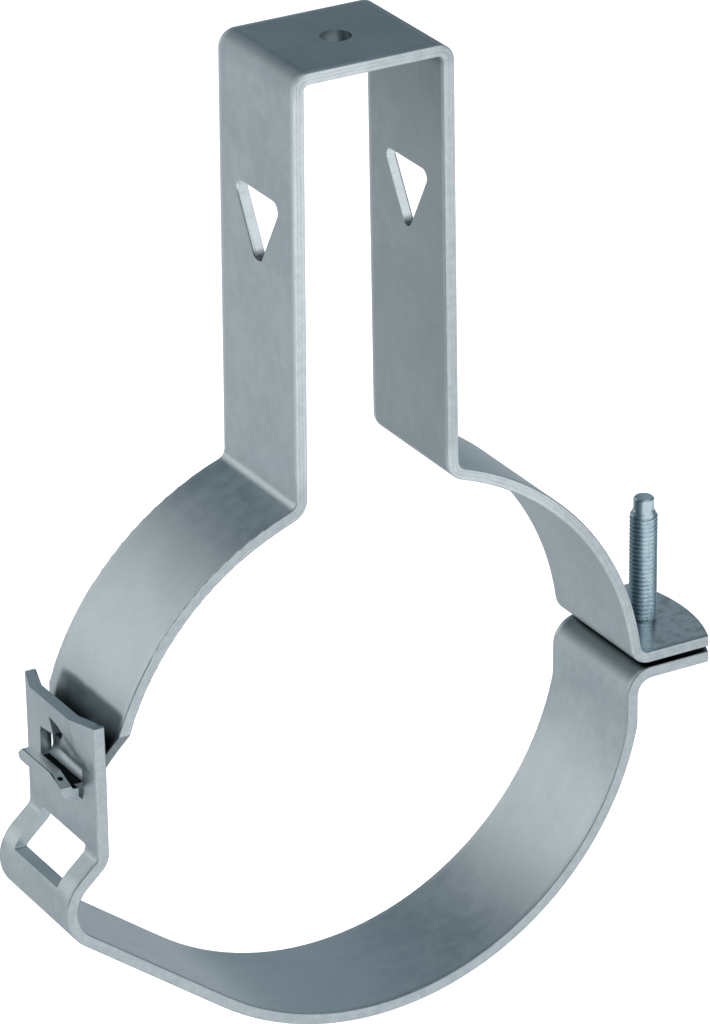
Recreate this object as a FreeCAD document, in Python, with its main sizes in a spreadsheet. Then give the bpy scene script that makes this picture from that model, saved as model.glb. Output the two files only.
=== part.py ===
"""Pipe bracket: a saddle-shaped upper band, a hooked-in lower band and their clamp screw.

The origin is the centre of the mounting hole in the top face of the saddle, +Z is up and the
pipe runs along Y. The side view of each band lies in the XZ plane, and a band is one flat strip
bent to that side view.
"""

import FreeCAD, Part

import math
import os

import Sketcher

# Driving dimensions in millimetres and degrees. "Rise" is a height above the pipe axis.
SIZES = {
    # The strip that both bands are bent from
    "strip_width": 40.0,
    "strip_thickness": 3.3,
    "strip_edge": 0.6,
    "bend_inside": 3.0,
    # The pipe that is held, and how far its axis hangs below the top face
    "pipe_diameter": 160.0,
    "pipe_hang": 200.0,
    # Saddle on top of the upper band
    "saddle_width": 47.6,
    "saddle_corner_inside": 1.6,
    "leg_splay": 0.4,
    "mount_hole": 8.4,
    "window_top": 38.2,
    "window_height": 19.0,
    "window_width": 21.0,
    "window_corner": 2.3,
    "window_roll": 0.9,
    # Screw ears of both bands
    "ear_rise": 6.2,
    "ear_gap": 1.5,
    "ear_length": 28.5,
    "ear_end_radius": 50.0,
    "screw_setback": 13.0,
    # Hooked tongue at the other end of the upper band
    "tongue_rise": 7.2,
    "taper_start_rise": 27.0,
    "taper_end_rise": 10.6,
    "neck_width": 20.0,
    "head_width": 24.4,
    "tongue_offset": 0.8,
    "head_gap": 0.9,
    "head_far_bevel_width": 1.9,
    "head_far_bevel_height": 1.8,
    "head_near_bevel_width": 6.2,
    "head_near_bevel_height": 2.1,
    "hook_stand": 6.2,
    "hook_inside": 1.0,
    "hook_height": 6.3,
    # Lower band
    "strap_lift": 4.0,
    "tuck": 1.6,
    "tuck_bend": 15.0,
    "strap_ear_inside": 4.5,
    "stirrup_setback": 2.6,
    "stirrup_drop": 22.0,
    "stirrup_inside": 9.1,
    "stirrup_slope": 42.0,
    "end_plate_stand": 6.0,
    "end_plate_rise": 31.1,
    "bulge_depth": 3.1,
    "bulge_width": 22.2,
    "bulge_crease_setback": 0.7,
    "bulge_start_rise": 16.5,
    # Openings in the lower band's end plate and stirrup
    "slot_undercut": 0.2,
    "slot_seat_gap": 0.3,
    "slot_top_rise": 16.5,
    "slot_corner": 0.6,
    "notch_reach": 10.6,
    "notch_height": 2.5,
    "tooth_reach": 2.9,
    "tooth_height": 3.4,
    "leaf_tip_reach": 2.5,
    "leaf_tip_height": 9.4,
    "leaf_shoulder_reach": 2.2,
    "leaf_shoulder_height": 8.4,
    "leaf_side_reach": 4.2,
    "leaf_side_height": 6.7,
    "leaf_root_reach": 1.3,
    "stirrup_window_reach": 12.3,
    "stirrup_window_far_reach": 12.9,
    "stirrup_window_top": 6.0,
    "stirrup_window_bottom": 16.8,
    "stirrup_window_corner": 0.5,
    # Clamp screw, with the tapped hole above and the clearance hole below
    "screw_diameter": 7.9,
    "screw_length": 44.8,
    "thread_play": 0.05,
    "dog_diameter": 5.5,
    "dog_length": 3.5,
    "dog_taper": 2.0,
    "head_flats": 13.0,
    "head_height": 5.3,
    "head_bevel": 30.0,
    "strap_hole": 11.2,
}

RING = "Sizes.pipe_diameter / 2"
RING_RISE = "-Sizes.pipe_hang"
STRAP_RISE = "(Sizes.strap_lift - Sizes.pipe_hang)"
EAR_UNDERSIDE = "(Sizes.ear_rise - Sizes.pipe_hang)"
STRAP_EAR_TOP = "(Sizes.ear_rise - Sizes.ear_gap - Sizes.pipe_hang)"
TONGUE_UNDERSIDE = "(Sizes.tongue_rise - Sizes.pipe_hang)"
SLOT_TOP = "(Sizes.slot_top_rise - Sizes.pipe_hang)"
SLOT_BOTTOM = "(Sizes.tongue_rise - Sizes.slot_seat_gap - Sizes.pipe_hang)"
SLOT_HALF = "(Sizes.head_width / 2 - Sizes.slot_undercut)"
BULGE_START = "(Sizes.bulge_start_rise - Sizes.pipe_hang)"
PLATE_TOP = "(Sizes.end_plate_rise - Sizes.pipe_hang)"
EAR_REACH = "(Sizes.pipe_diameter / 2 + Sizes.ear_length)"
SCREW_REACH = f"({EAR_REACH} - Sizes.screw_setback)"
PLATE_REACH = "(Sizes.pipe_diameter / 2 + Sizes.end_plate_stand)"
HEAD_START = f"({PLATE_REACH} + Sizes.head_gap)"
HOOK_REACH = f"({PLATE_REACH} + Sizes.hook_stand)"
STIRRUP_REACH = f"({PLATE_REACH} - Sizes.stirrup_setback)"
STRIP_HALF = "(Sizes.strip_width / 2)"

FIRST, LAST, CENTRE = range(1, 4)
ORIGIN = (-1, 1)
LEVEL_AXIS, UPRIGHT_AXIS = range(-1, -3, -1)
CUT_MARGIN = 10.0
CONTACT = 0.01

doc = FreeCAD.newDocument("PipeBracket")
sheet = doc.addObject("Spreadsheet::Sheet", "Sizes")
for row, (alias, size) in enumerate(SIZES.items(), start=1):
    sheet.set(f"A{row}", alias)
    sheet.set(f"B{row}", str(size))
    sheet.setAlias(f"B{row}", alias)
doc.recompute()


def number(expression):
    """The value of an expression on the sheet, as a plain number."""
    value = sheet.evalExpression(str(expression))
    return float(getattr(value, "Value", value))


def vector(x, y):
    """A point of a sketch."""
    return FreeCAD.Vector(x, y, 0)


def new_body(label):
    """An empty body at the frame's origin."""
    body = doc.addObject("PartDesign::Body", label)
    body.Label = label
    body.Placement = FreeCAD.Placement()
    return body


def new_sketch(body, name, role, offset=None):
    """A sketch on one of the body's own origin planes, moved along its normal by an expression."""
    sketch = body.newObject("Sketcher::SketchObject", name)
    plane = next(item for item in body.Origin.OriginFeatures if item.Role == role)
    sketch.AttachmentSupport = [(plane, "")]
    sketch.MapMode = "FlatFace"
    if offset is not None:
        sketch.setExpression("AttachmentOffset.Base.z", offset)
    return sketch


def dimension(sketch, kind, *refs, expression):
    """Adds one dimension to the sketch and ties it to the sheet."""
    value = number(expression)
    if kind == "Angle":
        value = math.radians(value)
        expression = f"({expression}) * 1 deg"
    index = sketch.addConstraint(Sketcher.Constraint(kind, *refs, value))
    sketch.setExpression(f"Constraints[{index}]", expression)


def locate(sketch, geometry, point, across=None, up=None):
    """Places a point of a sketch at signed distances from the origin."""
    for kind, expression in (("DistanceX", across), ("DistanceY", up)):
        if expression is None:
            continue
        if number(expression) < 0:
            dimension(sketch, kind, geometry, point, *ORIGIN, expression=f"-({expression})")
        else:
            dimension(sketch, kind, *ORIGIN, geometry, point, expression=expression)


def centre_on_axis(sketch, geometry, point, up):
    """Places a point on the sketch's upright axis at a signed height."""
    sketch.addConstraint(Sketcher.Constraint("PointOnObject", geometry, point, UPRIGHT_AXIS))
    locate(sketch, geometry, point, up=up)


def arc(centre, radius, start, end):
    """The arc about a centre the short way round, and whether it runs anticlockwise."""
    from_angle = math.atan2(start.y - centre.y, start.x - centre.x)
    to_angle = math.atan2(end.y - centre.y, end.x - centre.x)
    turn = (to_angle - from_angle + math.pi) % (2 * math.pi) - math.pi
    forward = turn > 0
    if forward:
        first, last = from_angle, from_angle + turn
    else:
        first, last = from_angle + turn, from_angle
    circle = Part.Circle(centre, FreeCAD.Vector(0, 0, 1), radius)
    return Part.ArcOfCircle(circle, first, last), forward


class Strip:
    """The side view of a bent strip: a chain of straights and bends, drawn as two parallel skins.

    Every step is ("straight", end) or ("bend", centre, end, inside), where the points lie on the
    strip's middle line and inside is the expression for the radius on the hollow side of the bend.
    No bend turns by more than half a turn.
    """

    def __init__(self, sketch, start, steps):
        self.sketch = sketch
        self.half = number("Sizes.strip_thickness / 2")
        self.skins = {+1: [], -1: []}
        joint, before = start, None
        for step in steps:
            end = step[-1] if step[0] == "straight" else step[2]
            given = (before == "bend" and step[0] == "bend")
            self.skins[+1].append(self.draw(step, joint, end, +1))
            self.skins[-1].append(self.draw(step, joint, end, -1, radius_is_given=given))
            joint, before = end, step[0]
        self.join()

    def draw(self, step, start, end, side, radius_is_given=False):
        """Adds one step of one skin and returns its number and its first and last points.

        Where two bends meet, the second skin's radius follows from the shared centres.
        """
        if step[0] == "straight":
            along = (end - start).normalize()
            shift = vector(-along.y, along.x) * (side * self.half)
            index = self.sketch.addGeometry(Part.LineSegment(start + shift, end + shift))
            return index, FIRST, LAST
        centre, inside = step[1], step[3]
        middle = (end - centre).Length
        turns_left = (start - centre).cross(end - centre).z > 0
        hollow = (side > 0) == turns_left
        radius = middle - self.half if hollow else middle + self.half
        shape, forward = arc(centre, radius, start, end)
        index = self.sketch.addGeometry(shape)
        if not radius_is_given:
            expression = inside if hollow else f"{inside} + Sizes.strip_thickness"
            dimension(self.sketch, "Radius", index, expression=expression)
        return (index, FIRST, LAST) if forward else (index, LAST, FIRST)

    def join(self):
        """Makes each skin run on smoothly, sets both skins about shared centres and closes the two ends."""
        for skin in self.skins.values():
            for (one, _, leave), (other, enter, _) in zip(skin, skin[1:]):
                joint = Sketcher.Constraint("Tangent", one, leave, other, enter)
                self.sketch.addConstraint(joint)
        for (left, _, _), (right, _, _) in zip(self.skins[+1], self.skins[-1]):
            if isinstance(self.sketch.Geometry[left], Part.ArcOfCircle):
                shared = Sketcher.Constraint("Coincident", left, CENTRE, right, CENTRE)
                self.sketch.addConstraint(shared)
        for place, corner in ((0, 1), (-1, 2)):
            left, right = self.skins[+1][place], self.skins[-1][place]
            self.cap((left[0], left[corner]), (right[0], right[corner]))

    def cap(self, left, right):
        """Closes one end of the strip with a straight line that is square to it."""
        ends = [self.sketch.getPoint(*left), self.sketch.getPoint(*right)]
        index = self.sketch.addGeometry(Part.LineSegment(*ends))
        self.sketch.addConstraint(Sketcher.Constraint("Coincident", index, FIRST, *left))
        self.sketch.addConstraint(Sketcher.Constraint("Coincident", index, LAST, *right))
        self.sketch.addConstraint(Sketcher.Constraint("Perpendicular", left[0], index))
        self.sketch.addConstraint(Sketcher.Constraint("Perpendicular", right[0], index))

    def step(self, number_of_step, side=+1):
        """The number of a step's line or arc on one skin."""
        return self.skins[side][number_of_step][0]

    def level(self, number_of_step, side=+1):
        """Keeps a straight step level on one skin."""
        line = self.step(number_of_step, side)
        self.sketch.addConstraint(Sketcher.Constraint("Horizontal", line))

    def upright(self, number_of_step, side=+1):
        """Keeps a straight step upright on one skin."""
        line = self.step(number_of_step, side)
        self.sketch.addConstraint(Sketcher.Constraint("Vertical", line))


def touch(ring, radius, bend, bend_radius):
    """Where a circle touches a bend outside it."""
    return ring + (bend - ring) * (radius / (radius + bend_radius))


def beside_ring(ring, distance, rise, side):
    """A centre at a distance from the ring's centre, at a height above it, to the left or right."""
    return ring + vector(side * math.sqrt(distance**2 - rise**2), rise)


def pad_strip(body, sketch, extend=None):
    """Gives the side view its width, adds what runs on from it, and rounds the strip's long edges."""
    pad = body.newObject("PartDesign::Pad", f"{body.Label}_strip")
    pad.Profile = sketch
    pad.Midplane = True
    pad.setExpression("Length", "Sizes.strip_width")
    doc.recompute()
    strip = extend(body) if extend else pad
    face_at = number("Sizes.strip_width / 2")
    thickness = number("Sizes.strip_thickness")
    edges = []
    for index, edge in enumerate(strip.Shape.Edges, start=1):
        on_side = all(abs(abs(vertex.Y) - face_at) < CONTACT for vertex in edge.Vertexes)
        along_side = edge.Vertexes[0].Y * edge.Vertexes[-1].Y > 0
        if on_side and along_side and abs(edge.Length - thickness) > CONTACT:
            edges.append(f"Edge{index}")
    fillet = body.newObject("PartDesign::Fillet", f"{body.Label}_rolled_edge")
    fillet.Base = (strip, edges)
    fillet.setExpression("Radius", "Sizes.strip_edge")
    doc.recompute()
    return fillet


def pocket(body, sketch, name, length=None, midplane=False, reverse=False):
    """Cuts a sketch out of the body and makes sure that something was removed."""
    before = body.Shape.Volume
    cut = body.newObject("PartDesign::Pocket", name)
    cut.Profile = sketch
    cut.Midplane = midplane
    cut.Reversed = reverse
    if length is None:
        cut.Type = "ThroughAll"
    else:
        cut.setExpression("Length", length)
    doc.recompute()
    if body.Shape.Volume >= before - CONTACT:
        raise RuntimeError(f"{name} removes nothing")
    return cut


def hull(sketch, centres, radius):
    """Draws a convex outline of equal arcs about the centres, anticlockwise, joined by tangent lines."""
    size = number(radius)
    points = [vector(number(across), number(up)) for across, up in centres]
    normals = []
    for here, there in zip(points, points[1:] + points[:1]):
        along = (there - here).normalize()
        normals.append(vector(along.y, -along.x) * size)
    arcs, lines = [], []
    for place, here in enumerate(points):
        shape, _ = arc(here, size, here + normals[place - 1], here + normals[place])
        arcs.append(sketch.addGeometry(shape))
    for place, here in enumerate(points):
        there = points[(place + 1) % len(points)]
        line = Part.LineSegment(here + normals[place], there + normals[place])
        lines.append(sketch.addGeometry(line))
    for place, line in enumerate(lines):
        following = arcs[(place + 1) % len(arcs)]
        sketch.addConstraint(Sketcher.Constraint("Tangent", arcs[place], LAST, line, FIRST))
        sketch.addConstraint(Sketcher.Constraint("Tangent", line, LAST, following, FIRST))
    for index, (across, up) in zip(arcs, centres):
        dimension(sketch, "Radius", index, expression=radius)
        if abs(number(across)) < CONTACT:
            centre_on_axis(sketch, index, CENTRE, up)
        else:
            locate(sketch, index, CENTRE, across, up)


def rounded_box(sketch, near, far, low, high, radius):
    """Draws a rectangle with round corners between two reaches and two heights."""
    left, right = f"{near} + {radius}", f"{far} - {radius}"
    bottom, top = f"{low} + {radius}", f"{high} - {radius}"
    hull(sketch, [(left, bottom), (right, bottom), (right, top), (left, top)], radius)


def polygon(sketch, corners):
    """Draws a closed outline of straight lines with each corner at its own place."""
    points = [vector(number(across), number(up)) for across, up in corners]
    ends = points[1:] + points[:1]
    lines = [sketch.addGeometry(Part.LineSegment(here, there)) for here, there in zip(points, ends)]
    for place, line in enumerate(lines):
        joint = Sketcher.Constraint("Coincident", lines[place - 1], LAST, line, FIRST)
        sketch.addConstraint(joint)
        locate(sketch, line, FIRST, *corners[place])


def round_hole(body, name, reach, diameter):
    """Drills a round hole along Z at a distance from the mount along X."""
    sketch = new_sketch(body, f"{name}_circle", "XY_Plane")
    circle = Part.Circle(vector(number(reach), 0), FreeCAD.Vector(0, 0, 1), number(diameter) / 2)
    index = sketch.addGeometry(circle)
    dimension(sketch, "Diameter", index, expression=diameter)
    if number(reach):
        sketch.addConstraint(Sketcher.Constraint("PointOnObject", index, CENTRE, LEVEL_AXIS))
        locate(sketch, index, CENTRE, across=reach)
    else:
        sketch.addConstraint(Sketcher.Constraint("Coincident", index, CENTRE, *ORIGIN))
    pocket(body, sketch, name)


def round_ear_end(body):
    """Trims the end of the screw ear to its arc, seen from above."""
    radius, reach = number("Sizes.ear_end_radius"), number(EAR_REACH)
    half = number(STRIP_HALF)
    margin = half + CUT_MARGIN
    sketch = new_sketch(body, "ear_end_outline", "XY_Plane")
    centre = vector(reach - radius, 0)
    across = math.sqrt(radius**2 - margin**2)
    low, high = centre + vector(across, -margin), centre + vector(across, margin)
    beyond = reach + CUT_MARGIN
    shape, _ = arc(centre, radius, low, high)
    curve = sketch.addGeometry(shape)
    top = sketch.addGeometry(Part.LineSegment(high, vector(beyond, margin)))
    back = sketch.addGeometry(Part.LineSegment(vector(beyond, margin), vector(beyond, -margin)))
    bottom = sketch.addGeometry(Part.LineSegment(vector(beyond, -margin), low))
    links = ((curve, LAST, top, FIRST), (top, LAST, back, FIRST), (back, LAST, bottom, FIRST))
    for link in links + ((bottom, LAST, curve, FIRST),):
        sketch.addConstraint(Sketcher.Constraint("Coincident", *link))
    for line in (top, bottom):
        sketch.addConstraint(Sketcher.Constraint("Horizontal", line))
    sketch.addConstraint(Sketcher.Constraint("Vertical", back))
    sketch.addConstraint(Sketcher.Constraint("PointOnObject", curve, CENTRE, LEVEL_AXIS))
    dimension(sketch, "Radius", curve, expression="Sizes.ear_end_radius")
    locate(sketch, curve, CENTRE, across=f"{EAR_REACH} - Sizes.ear_end_radius")
    locate(sketch, back, FIRST, f"{EAR_REACH} + {CUT_MARGIN}", f"{STRIP_HALF} + {CUT_MARGIN}")
    locate(sketch, back, LAST, up=f"-({STRIP_HALF} + {CUT_MARGIN})")
    pocket(body, sketch, "ear_end")


def upper_band():
    """The saddle with its two legs, a quarter ring on each side, the right ear and the hooked tongue."""
    body = new_body("upper_band")
    sketch = new_sketch(body, "side_view", "XZ_Plane")
    half = number("Sizes.strip_thickness / 2")
    ring_radius = number(RING) + half
    bend = number("Sizes.bend_inside") + half
    ring = vector(0, number(RING_RISE))
    splay = math.radians(number("Sizes.leg_splay"))
    outward = vector(math.cos(splay), math.sin(splay))
    downward = vector(math.sin(splay), -math.cos(splay))
    corner_radius = number("Sizes.saddle_corner_inside") + half
    corner_at = number("Sizes.saddle_width / 2") - corner_radius - half
    corner = vector(corner_at, -corner_radius - half)
    leg_line = corner + outward * (corner_radius + bend) - ring
    reach = ring_radius + bend
    slide = -leg_line.dot(downward) - math.sqrt(reach**2 - leg_line.dot(outward) ** 2)
    leg_bend = ring + leg_line + downward * slide
    ear = beside_ring(ring, reach, number("Sizes.ear_rise") + half + bend, +1)
    neck = beside_ring(ring, reach, number("Sizes.tongue_rise") + half + bend, -1)
    hook_radius = number("Sizes.hook_inside") + half
    hook_face = half - number(HOOK_REACH)
    hook = vector(hook_face + hook_radius, neck.y - bend + hook_radius)
    ear_end = vector(number(EAR_REACH) + CUT_MARGIN / 2, ear.y - bend)
    hook_top = f"{TONGUE_UNDERSIDE} + Sizes.hook_height"
    hook_end = vector(hook_face, number(hook_top))

    def mirrored(point):
        return vector(-point.x, point.y)

    leg_foot = leg_bend - outward * bend
    leg_start = touch(ring, ring_radius, leg_bend, bend)
    leg_head = corner + outward * corner_radius
    saddle_end = corner + vector(0, corner_radius)
    bend_inside, corner_inside = "Sizes.bend_inside", "Sizes.saddle_corner_inside"
    steps = [
        ("straight", ear - vector(0, bend)),
        ("bend", ear, touch(ring, ring_radius, ear, bend), bend_inside),
        ("bend", ring, leg_start, RING),
        ("bend", leg_bend, leg_foot, bend_inside),
        ("straight", leg_head),
        ("bend", corner, saddle_end, corner_inside),
        ("straight", mirrored(saddle_end)),
        ("bend", mirrored(corner), mirrored(leg_head), corner_inside),
        ("straight", mirrored(leg_foot)),
        ("bend", mirrored(leg_bend), mirrored(leg_start), bend_inside),
        ("bend", ring, touch(ring, ring_radius, neck, bend), RING),
        ("bend", neck, neck - vector(0, bend), bend_inside),
        ("straight", hook - vector(0, hook_radius)),
        ("bend", hook, hook - vector(hook_radius, 0), "Sizes.hook_inside"),
        ("straight", hook_end),
    ]
    strip = Strip(sketch, ear_end, steps)
    ear_step, _, right_ring, _, right_leg, right_corner, saddle, *rest = range(len(steps))
    left_corner, left_leg, _, left_ring, _, tongue, _, hook_leg = rest
    for quarter in (right_ring, left_ring):
        centre_on_axis(sketch, strip.step(quarter), CENTRE, RING_RISE)
    leg_face = "Sizes.saddle_width / 2 - Sizes.strip_thickness"
    corner_reach = f"({leg_face} - Sizes.saddle_corner_inside)"
    locate(sketch, strip.step(right_corner), CENTRE, across=corner_reach)
    locate(sketch, strip.step(left_corner), CENTRE, across=f"-{corner_reach}")
    dimension(sketch, "Angle", strip.step(right_leg), expression="90 + Sizes.leg_splay")
    dimension(sketch, "Angle", strip.step(left_leg), expression="-90 - Sizes.leg_splay")
    top_skin = -1
    strip.level(saddle, top_skin)
    top_line = strip.step(saddle, top_skin)
    sketch.addConstraint(Sketcher.Constraint("PointOnObject", top_line, FIRST, LEVEL_AXIS))
    strip.level(ear_step)
    locate(sketch, strip.step(ear_step), FIRST, f"{EAR_REACH} + {CUT_MARGIN / 2}", EAR_UNDERSIDE)
    strip.level(tongue)
    locate(sketch, strip.step(tongue), FIRST, up=TONGUE_UNDERSIDE)
    strip.upright(hook_leg)
    locate(sketch, strip.step(hook_leg), LAST, f"-{HOOK_REACH}", hook_top)
    pad_strip(body, sketch)
    pierce_legs(body)
    cut_tongue(body)
    round_hole(body, "mount_hole", "0", "Sizes.mount_hole")
    tapped = "Sizes.screw_diameter + 2 * Sizes.thread_play"
    round_hole(body, "tapped_hole", SCREW_REACH, tapped)
    round_ear_end(body)
    return body


def pierce_legs(body):
    """Cuts the rounded triangle through both legs, its point downwards, and rounds its outer rims."""
    sketch = new_sketch(body, "leg_window_outline", "YZ_Plane")
    side = "Sizes.window_width / 2 - Sizes.window_corner"
    top = "-Sizes.window_top - Sizes.window_corner"
    tip = "-Sizes.window_top - Sizes.window_height + Sizes.window_corner"
    hull(sketch, [("0", tip), (side, top), (f"-({side})", top)], "Sizes.window_corner")
    both_legs = "Sizes.saddle_width + 2 * Sizes.strip_thickness"
    window = pocket(body, sketch, "leg_window", both_legs, midplane=True)
    middle = number("Sizes.saddle_width / 2 - Sizes.strip_thickness / 2")
    low = number("-Sizes.window_top - Sizes.window_height") - CONTACT
    high = number("-Sizes.window_top") + CONTACT
    rims = []
    for index, edge in enumerate(window.Shape.Edges, start=1):
        box = edge.BoundBox
        outside = min(abs(box.XMin), abs(box.XMax)) > middle and box.XMin * box.XMax > 0
        if outside and box.ZMin > low and box.ZMax < high and edge.CenterOfMass.z < high:
            rims.append(f"Edge{index}")
    roll = body.newObject("PartDesign::Fillet", "window_roll")
    roll.Base = (window, rims)
    roll.setExpression("Radius", "Sizes.window_roll")
    doc.recompute()


def cut_tongue(body):
    """Narrows the end of the ring to the neck, and trims the hook to its bevelled head."""
    beside = f"{STRIP_HALF} + {CUT_MARGIN}"
    below = f"{TONGUE_UNDERSIDE} - {CUT_MARGIN}"
    start = "Sizes.taper_start_rise - Sizes.pipe_hang"
    end = "Sizes.taper_end_rise - Sizes.pipe_hang"
    top = f"{TONGUE_UNDERSIDE} + Sizes.hook_height"
    tapers, trims = [], []
    for side, name in ((+1, "far"), (-1, "near")):
        edge = f"{side} * {STRIP_HALF}"
        neck = f"{side} * Sizes.neck_width / 2 + Sizes.tongue_offset"
        head = f"{side} * Sizes.head_width / 2 + Sizes.tongue_offset"
        inner = f"{head} - {side} * Sizes.head_{name}_bevel_width"
        shoulder = f"{top} - Sizes.head_{name}_bevel_height"
        outside = f"{side} * ({beside})"
        above = f"{top} + {CUT_MARGIN}"
        tapers.append([(edge, start), (neck, end), (neck, below), (outside, below), (outside, start)])
        trims.append([
            (head, below), (head, shoulder), (inner, top),
            (inner, above), (outside, above), (outside, below),
        ])
    mouth = f"(Sizes.pipe_diameter / 2 - {CUT_MARGIN})"
    beyond = f"({HOOK_REACH} + {CUT_MARGIN})"
    cuts = (
        ("neck", tapers, mouth, HEAD_START),
        ("head", trims, HEAD_START, beyond),
    )
    for name, outlines, near, far in cuts:
        sketch = new_sketch(body, f"{name}_outline", "YZ_Plane", f"-{near}")
        for outline in outlines:
            polygon(sketch, outline)
        pocket(body, sketch, f"{name}_cut", f"{far} - {near}")


def bulged_plate(body):
    """The top of the end plate, whose middle leans outwards between two creases."""
    outer, inner = f"-{PLATE_REACH}", f"-{PLATE_REACH} + Sizes.strip_thickness"
    edge, crease = STRIP_HALF, "(Sizes.bulge_width / 2)"
    inner_crease = f"({crease} - Sizes.bulge_crease_setback)"
    sections = (("plate_foot", BULGE_START, "0"), ("plate_top", PLATE_TOP, "Sizes.bulge_depth"))
    loft = None
    for name, rise, depth in sections:
        middle = [(f"{outer} - {depth}", f"-{crease}"), (f"{outer} - {depth}", crease)]
        back = f"{inner} - {depth}"
        hollow = [(back, inner_crease), (back, f"-{inner_crease}")]
        outline = [(outer, f"-{edge}"), *middle, (outer, edge), (inner, edge)]
        outline += [*hollow, (inner, f"-{edge}")]
        sketch = new_sketch(body, name, "XY_Plane", rise)
        polygon(sketch, outline)
        doc.recompute()
        if loft is None:
            loft = body.newObject("PartDesign::AdditiveLoft", "bulged_plate")
            loft.Profile = sketch
        else:
            loft.Sections = [sketch]
    loft.Ruled = True
    doc.recompute()
    return loft


def lower_band():
    """The half ring, the ear that stands under the upper one, the stirrup and the slotted end plate."""
    body = new_body("lower_band")
    sketch = new_sketch(body, "strap_side_view", "XZ_Plane")
    half = number("Sizes.strip_thickness / 2")
    ring_radius = number(RING) + half
    bend = number("Sizes.bend_inside") + half
    ring = vector(0, number(STRAP_RISE))
    ear_bend = number("Sizes.strap_ear_inside") + half
    rise_reach = f"({RING} - Sizes.tuck)"
    rise = number(rise_reach) + half
    ear_level = number(STRAP_EAR_TOP) - half
    ear = vector(rise + ear_bend, ear_level - ear_bend)
    tuck_bend = number("Sizes.tuck_bend") + half
    tuck = vector(rise - tuck_bend, 0)
    tuck.y = ring.y - math.sqrt((ring_radius - tuck_bend) ** 2 - tuck.x**2)
    loop_radius = number("Sizes.stirrup_inside") + half
    loop_rise = "-Sizes.stirrup_drop - Sizes.pipe_hang"
    loop = vector(-number(STIRRUP_REACH), number(loop_rise))
    apart = loop - ring
    run_lean = math.acos((ring_radius - loop_radius) / apart.Length)
    run_angle = math.atan2(apart.y, apart.x) + run_lean
    run_side = vector(math.cos(run_angle), math.sin(run_angle))
    slope = math.radians(number("Sizes.stirrup_slope"))
    slope_side = vector(-math.sin(slope), math.cos(slope))
    plate = half - number(PLATE_REACH)
    knee = vector(plate - bend, 0)
    knee_rise = loop_radius + bend - slope_side.x * (knee.x - loop.x)
    knee.y = loop.y + knee_rise / slope_side.y
    tuck_end = ring + (tuck - ring) * (ring_radius / (ring_radius - tuck_bend))
    ear_end = vector(number(EAR_REACH) + CUT_MARGIN / 2, ear_level)
    steps = [
        ("straight", vector(ear.x, ear_level)),
        ("bend", ear, vector(rise, ear.y), "Sizes.strap_ear_inside"),
        ("straight", vector(rise, tuck.y)),
        ("bend", tuck, tuck_end, "Sizes.tuck_bend"),
        ("bend", ring, ring + run_side * ring_radius, RING),
        ("straight", loop + run_side * loop_radius),
        ("bend", loop, loop + slope_side * loop_radius, "Sizes.stirrup_inside"),
        ("straight", knee - slope_side * bend),
        ("bend", knee, knee + vector(bend, 0), "Sizes.bend_inside"),
        ("straight", vector(plate, number(BULGE_START))),
    ]
    strip = Strip(sketch, ear_end, steps)
    ear_step, _, rise_step, _, ring_step, *rest = range(len(steps))
    _, loop_step, slope_step, _, plate_step = rest
    centre_on_axis(sketch, strip.step(ring_step), CENTRE, STRAP_RISE)
    top_skin = -1
    strip.level(ear_step, top_skin)
    ear_line = strip.step(ear_step, top_skin)
    locate(sketch, ear_line, FIRST, f"{EAR_REACH} + {CUT_MARGIN / 2}", STRAP_EAR_TOP)
    pipe_skin = -1
    strip.upright(rise_step, pipe_skin)
    locate(sketch, strip.step(rise_step, pipe_skin), FIRST, across=rise_reach)
    locate(sketch, strip.step(loop_step), CENTRE, f"-{STIRRUP_REACH}", loop_rise)
    dimension(sketch, "Angle", strip.step(slope_step), expression="Sizes.stirrup_slope")
    strip.upright(plate_step, +1)
    locate(sketch, strip.step(plate_step, +1), LAST, f"-{PLATE_REACH}", BULGE_START)
    pad_strip(body, sketch, bulged_plate)
    cut_slot(body)
    cut_stirrup_window(body)
    round_hole(body, "clearance_hole", SCREW_REACH, "Sizes.strap_hole")
    round_ear_end(body)
    return body


def cut_slot(body):
    """Cuts the slot for the hook, and the notched opening that runs up from its top edge."""
    inside = f"-{PLATE_REACH} + Sizes.strip_thickness + {CUT_MARGIN}"
    sketch = new_sketch(body, "slot_outline", "YZ_Plane", inside)
    rounded_box(sketch, f"-{SLOT_HALF}", SLOT_HALF, SLOT_BOTTOM, SLOT_TOP, "Sizes.slot_corner")
    pocket(body, sketch, "slot")
    sketch = new_sketch(body, "crown_outline", "YZ_Plane", inside)
    below = f"{SLOT_TOP} - 2 * Sizes.slot_corner"
    polygon(sketch, [
        (SLOT_HALF, below),
        (SLOT_HALF, SLOT_TOP),
        ("Sizes.notch_reach", f"{SLOT_TOP} + Sizes.notch_height"),
        ("Sizes.tooth_reach", f"{SLOT_TOP} + Sizes.tooth_height"),
        ("Sizes.leaf_tip_reach", f"{SLOT_TOP} + Sizes.leaf_tip_height"),
        ("-Sizes.leaf_shoulder_reach", f"{SLOT_TOP} + Sizes.leaf_shoulder_height"),
        ("-Sizes.leaf_side_reach", f"{SLOT_TOP} + Sizes.leaf_side_height"),
        ("Sizes.leaf_root_reach", SLOT_TOP),
        ("Sizes.leaf_root_reach", below),
    ])
    pocket(body, sketch, "crown")


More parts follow.
